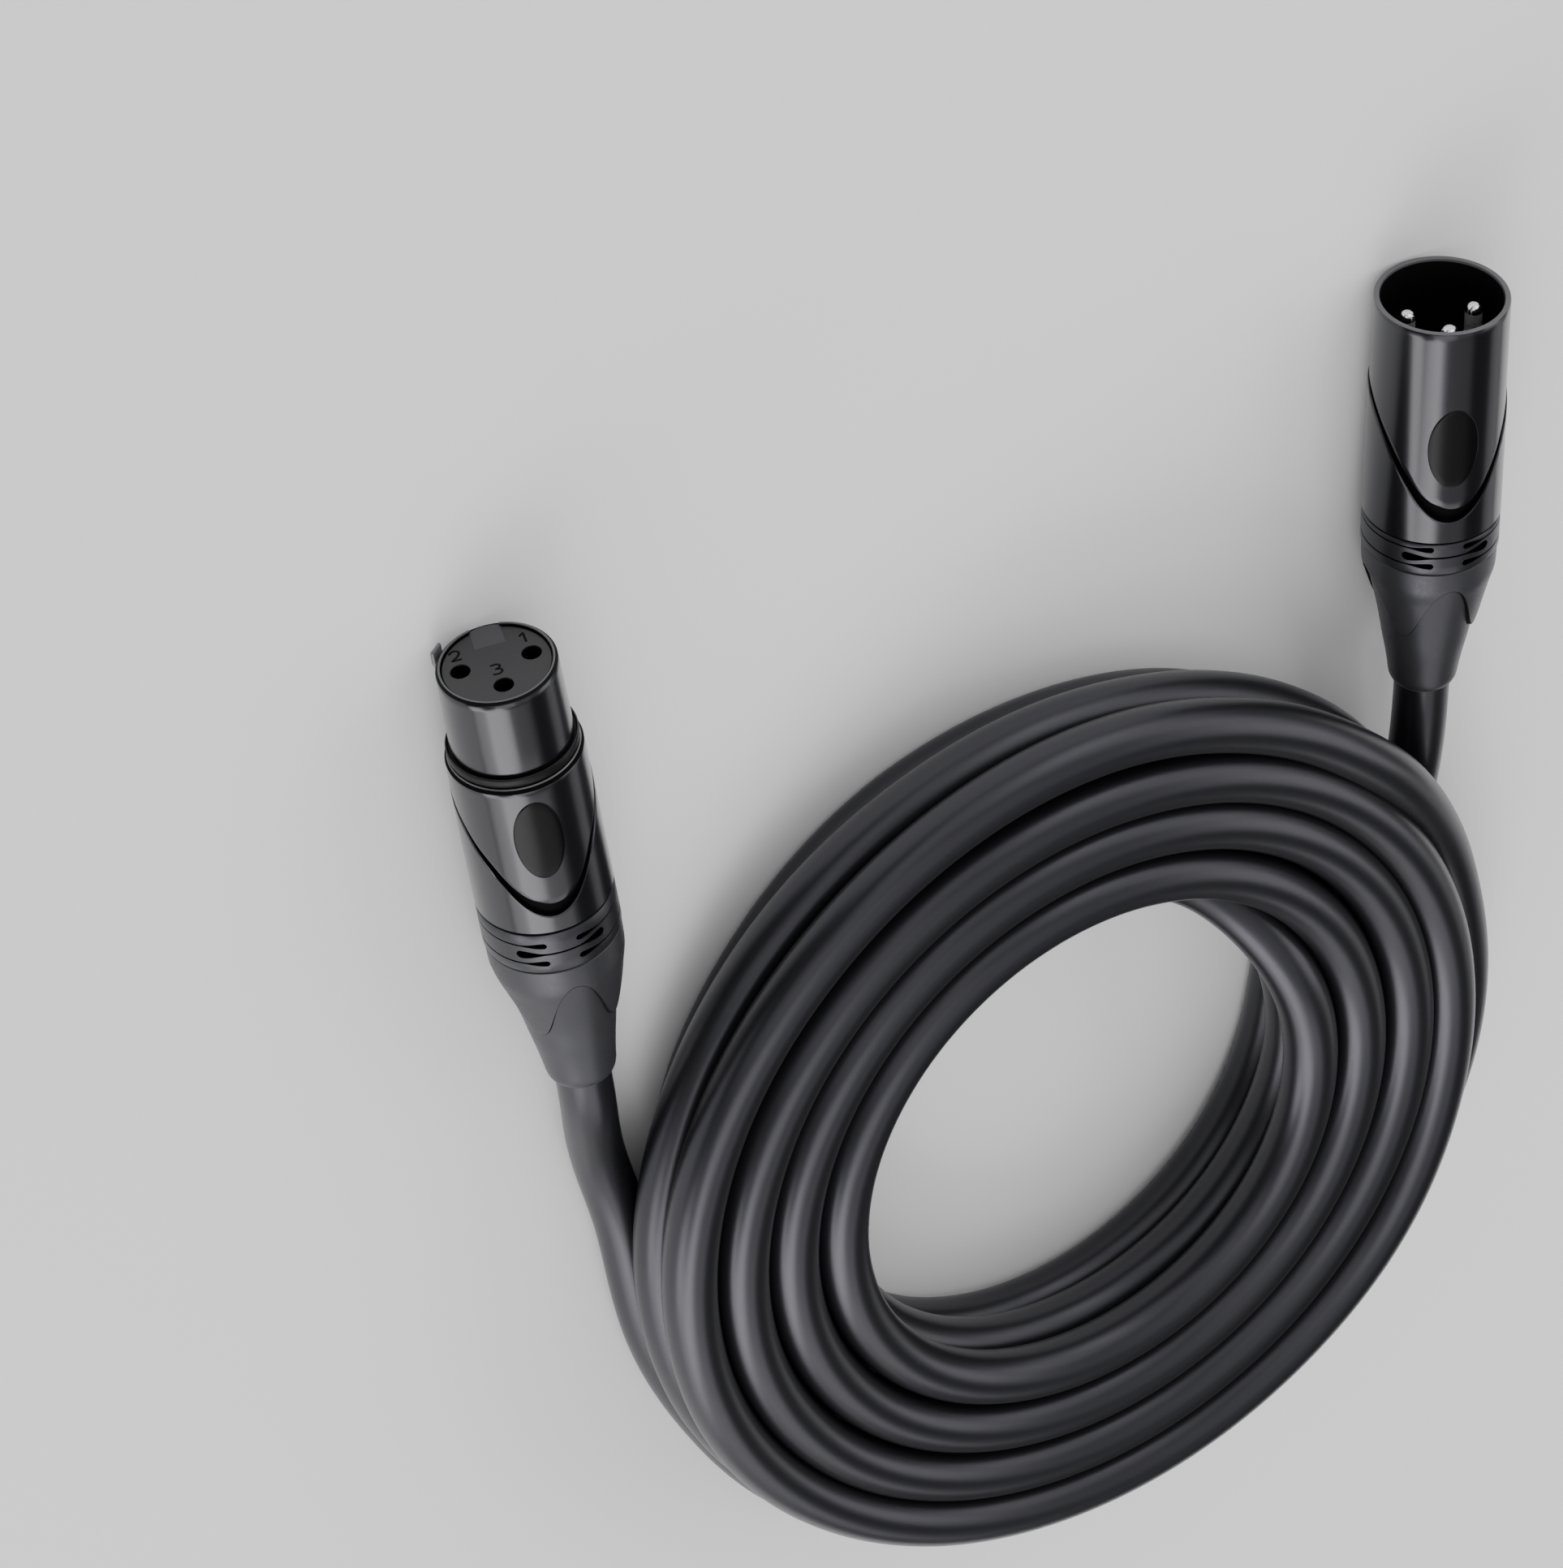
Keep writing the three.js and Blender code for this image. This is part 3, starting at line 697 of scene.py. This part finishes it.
def make_latch():
    """The push lever: a hook beside the rim, an arm inside the shell and a button."""
    outline = [(2.65, 6.9), (2.65, 8.5), (2.45, 8.72), (0.4, 8.72), (0.22, 8.8), (0.15, 8.95),
               (0.2, 9.2), (0.5, 9.34), (2.3, 9.35), (3.4, 8.6), (4.4, 7.75), (15.5, 7.7),
               (16.2, 9.5), (17.0, 9.58), (20.8, 9.58), (21.6, 9.5), (22.3, 7.7), (28.3, 7.7), (28.3, 6.2),
               (25.6, 6.2), (24.9, 6.9)]
    place = FEMALE @ Matrix.Rotation(math.radians(LATCH_TURN), 4, "Y")
    bm = bmesh.new()
    sides = [[bm.verts.new(place @ Vector((x, t, r)) * MM) for t, r in outline]
             for x in (-LATCH_HALF, LATCH_HALF)]
    bm.faces.new(sides[0])
    bm.faces.new(list(reversed(sides[1])))
    for k in range(len(outline)):
        j = (k + 1) % len(outline)
        bm.faces.new((sides[0][j], sides[0][k], sides[1][k], sides[1][j]))
    obj = from_bmesh("female_lever", bm, LATCH, "latch", 50, bevel=0.22, limit=45)
    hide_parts("female_latch")


def make_female():
    edge = Edge([(0, 36.9), (10, 36.5), (22, 35.0), (30, 33.4), (38, 31.4), (48, 28.9), (58, 26.8), (68, 24.6),
                 (90, 20.9), (120, 19.0), (150, 18.6), (180, 18.5)], 14.95)
    rows, kinds = shell_rows(edge, 2.2, 39.7, 9.12, 9.2)
    lead = [(14.3, 8.2), (14.3, 8.68), (14.36, 8.76), (14.46, 8.82), (14.85, 9.06), (14.95, 9.1)]
    back = [(39.7, 9.08), (39.7, 8.3), (39.2, 8.15), (14.3, 8.15)]
    # painted shade on the step's face, on its chamfer and in the recess; painted highlights on its thin edges
    which = [2, 1, 1, 2, 2, 0] + [2 if k else 0 for k in kinds] + [0, 0, 0, 0]
    turned("female_body", FEMALE, lead + rows + back, [SHELL, RIM_HIGHLIGHT, SHADE_PAINT], around=180, which=which,
           replaces=("female_shell",), sharp=28)
    make_nose()
    make_face()
    make_latch()
    make_inlay("female_badge", FEMALE, 23.5, 6.6, 3.35, 9.12, "female_inlay")
    make_band("female_ring", FEMALE, 39.95, 46.65, 9.2, (41.9, 43.35, 45.0), "female_bushing")
    make_boot("female_sleeve", FEMALE, 46.9, 72.6,
              [(46, 9.04), (49, 9.04), (51, 8.95), (53.5, 8.45), (57, 7.75), (60.9, 6.95)],
              [(48, 8.6), (50.3, 8.5), (53.5, 7.9), (57, 7.15), (60.9, 6.35), (63.5, 5.95), (67, 5.35), (71, 4.8),
               (72.6, 4.65)], (50.4, 60.4), "female_boot")


make_male()
make_female()

for node, mat in (("male_insert", BLACK_AND_SHADE), ("female_insert", BLACK_AND_SHADE),
                  ("female_latch_pin", STEEL), ("female_latch_spring", STEEL),
                  ("male_ground_clip", STEEL), ("female_ground_clip", STEEL), ("male_chuck", NYLON),
                  ("female_chuck", NYLON), ("male_cable_end", JACKET), ("female_cable_end", JACKET),
                  ("female_socket_1", SILVER), ("female_socket_2", SILVER), ("female_socket_3", SILVER)):
    dress(node, mat)


# ---- floor and light ----------------------------------------------------------------------
FLOOR_HALF, FLOOR_Z = 8, -0.0002
WORLD_STRENGTH = 0.05


def make_floor():
    corners = ((-1, -1), (1, -1), (1, 1), (-1, 1))
    mesh = bpy.data.meshes.new("floor")
    mesh.from_pydata([(x * FLOOR_HALF, y * FLOOR_HALF, FLOOR_Z) for x, y in corners], [], [(0, 1, 2, 3)])
    mat = bpy.data.materials.new("floor")
    mat.use_nodes = True
    shader = mat.node_tree.nodes["Principled BSDF"]
    shader.inputs["Base Color"].default_value = (0.93, 0.93, 0.935, 1)
    shader.inputs["Roughness"].default_value = 0.9
    shader.inputs["Specular IOR Level"].default_value = 0.1
    mesh.materials.append(mat)
    floor = bpy.data.objects.new("floor", mesh)
    bpy.context.scene.collection.objects.link(floor)


def area_light(name, where, target, side, power):
    data = bpy.data.lights.new(name, "AREA")
    data.shape = "RECTANGLE"
    data.size = data.size_y = side
    data.energy = power
    light = bpy.data.objects.new(name, data)
    light.location = where
    light.rotation_euler = (Vector(target) - Vector(where)).to_track_quat("-Z", "Y").to_euler()
    bpy.context.scene.collection.objects.link(light)


make_floor()
world = bpy.data.worlds.new("studio")
world.use_nodes = True
world.node_tree.nodes["Background"].inputs["Color"].default_value = (1, 1, 1, 1)
world.node_tree.nodes["Background"].inputs["Strength"].default_value = WORLD_STRENGTH
bpy.context.scene.world = world

# Soft boxes round the object: direction and height in degrees, distance and side in metres, watts.
LIGHTS = [
    (55, 36, 1.1, 0.55, 5.26), (34, 14, 1.1, 0.40, 2.84), (30, 60, 1.1, 0.60, 2.60), (175, 36, 1.1, 0.55, 2.05),
    (95, 36, 1.1, 0.55, 1.66), (58, 14, 1.1, 0.40, 1.38), (215, 36, 1.1, 0.55, 1.38), (255, 36, 1.1, 0.55, 1.26),
    (0, 90, 1.1, 0.70, 1.18), (318, 60, 1.1, 0.60, 1.15), (335, 36, 1.1, 0.55, 0.92), (295, 36, 1.1, 0.55, 0.89),
    (226, 14, 1.1, 0.40, 0.71), (250, 14, 1.1, 0.40, 0.61), (246, 60, 1.1, 0.60, 0.54), (274, 14, 1.1, 0.40, 0.52),
    (102, 60, 1.1, 0.60, 0.49), (174, 60, 1.1, 0.60, 0.48), (154, 14, 1.1, 0.40, 0.34), (82, 14, 1.1, 0.40, 0.31),
    (245, 25, 0.45, 0.20, 0.147), (200, 25, 0.45, 0.20, 0.109), (290, 25, 0.45, 0.20, 0.060),
]
LIT_POINT = Vector((0, 0.05, 0.01))
for number, (turn, height, far, side, power) in enumerate(LIGHTS):
    e, a = math.radians(height), math.radians(turn)
    way = Vector((math.cos(e) * math.cos(a), math.cos(e) * math.sin(a), math.sin(e)))
    area_light(f"softbox_{number + 1}", LIT_POINT + way * far, LIT_POINT, side, power)
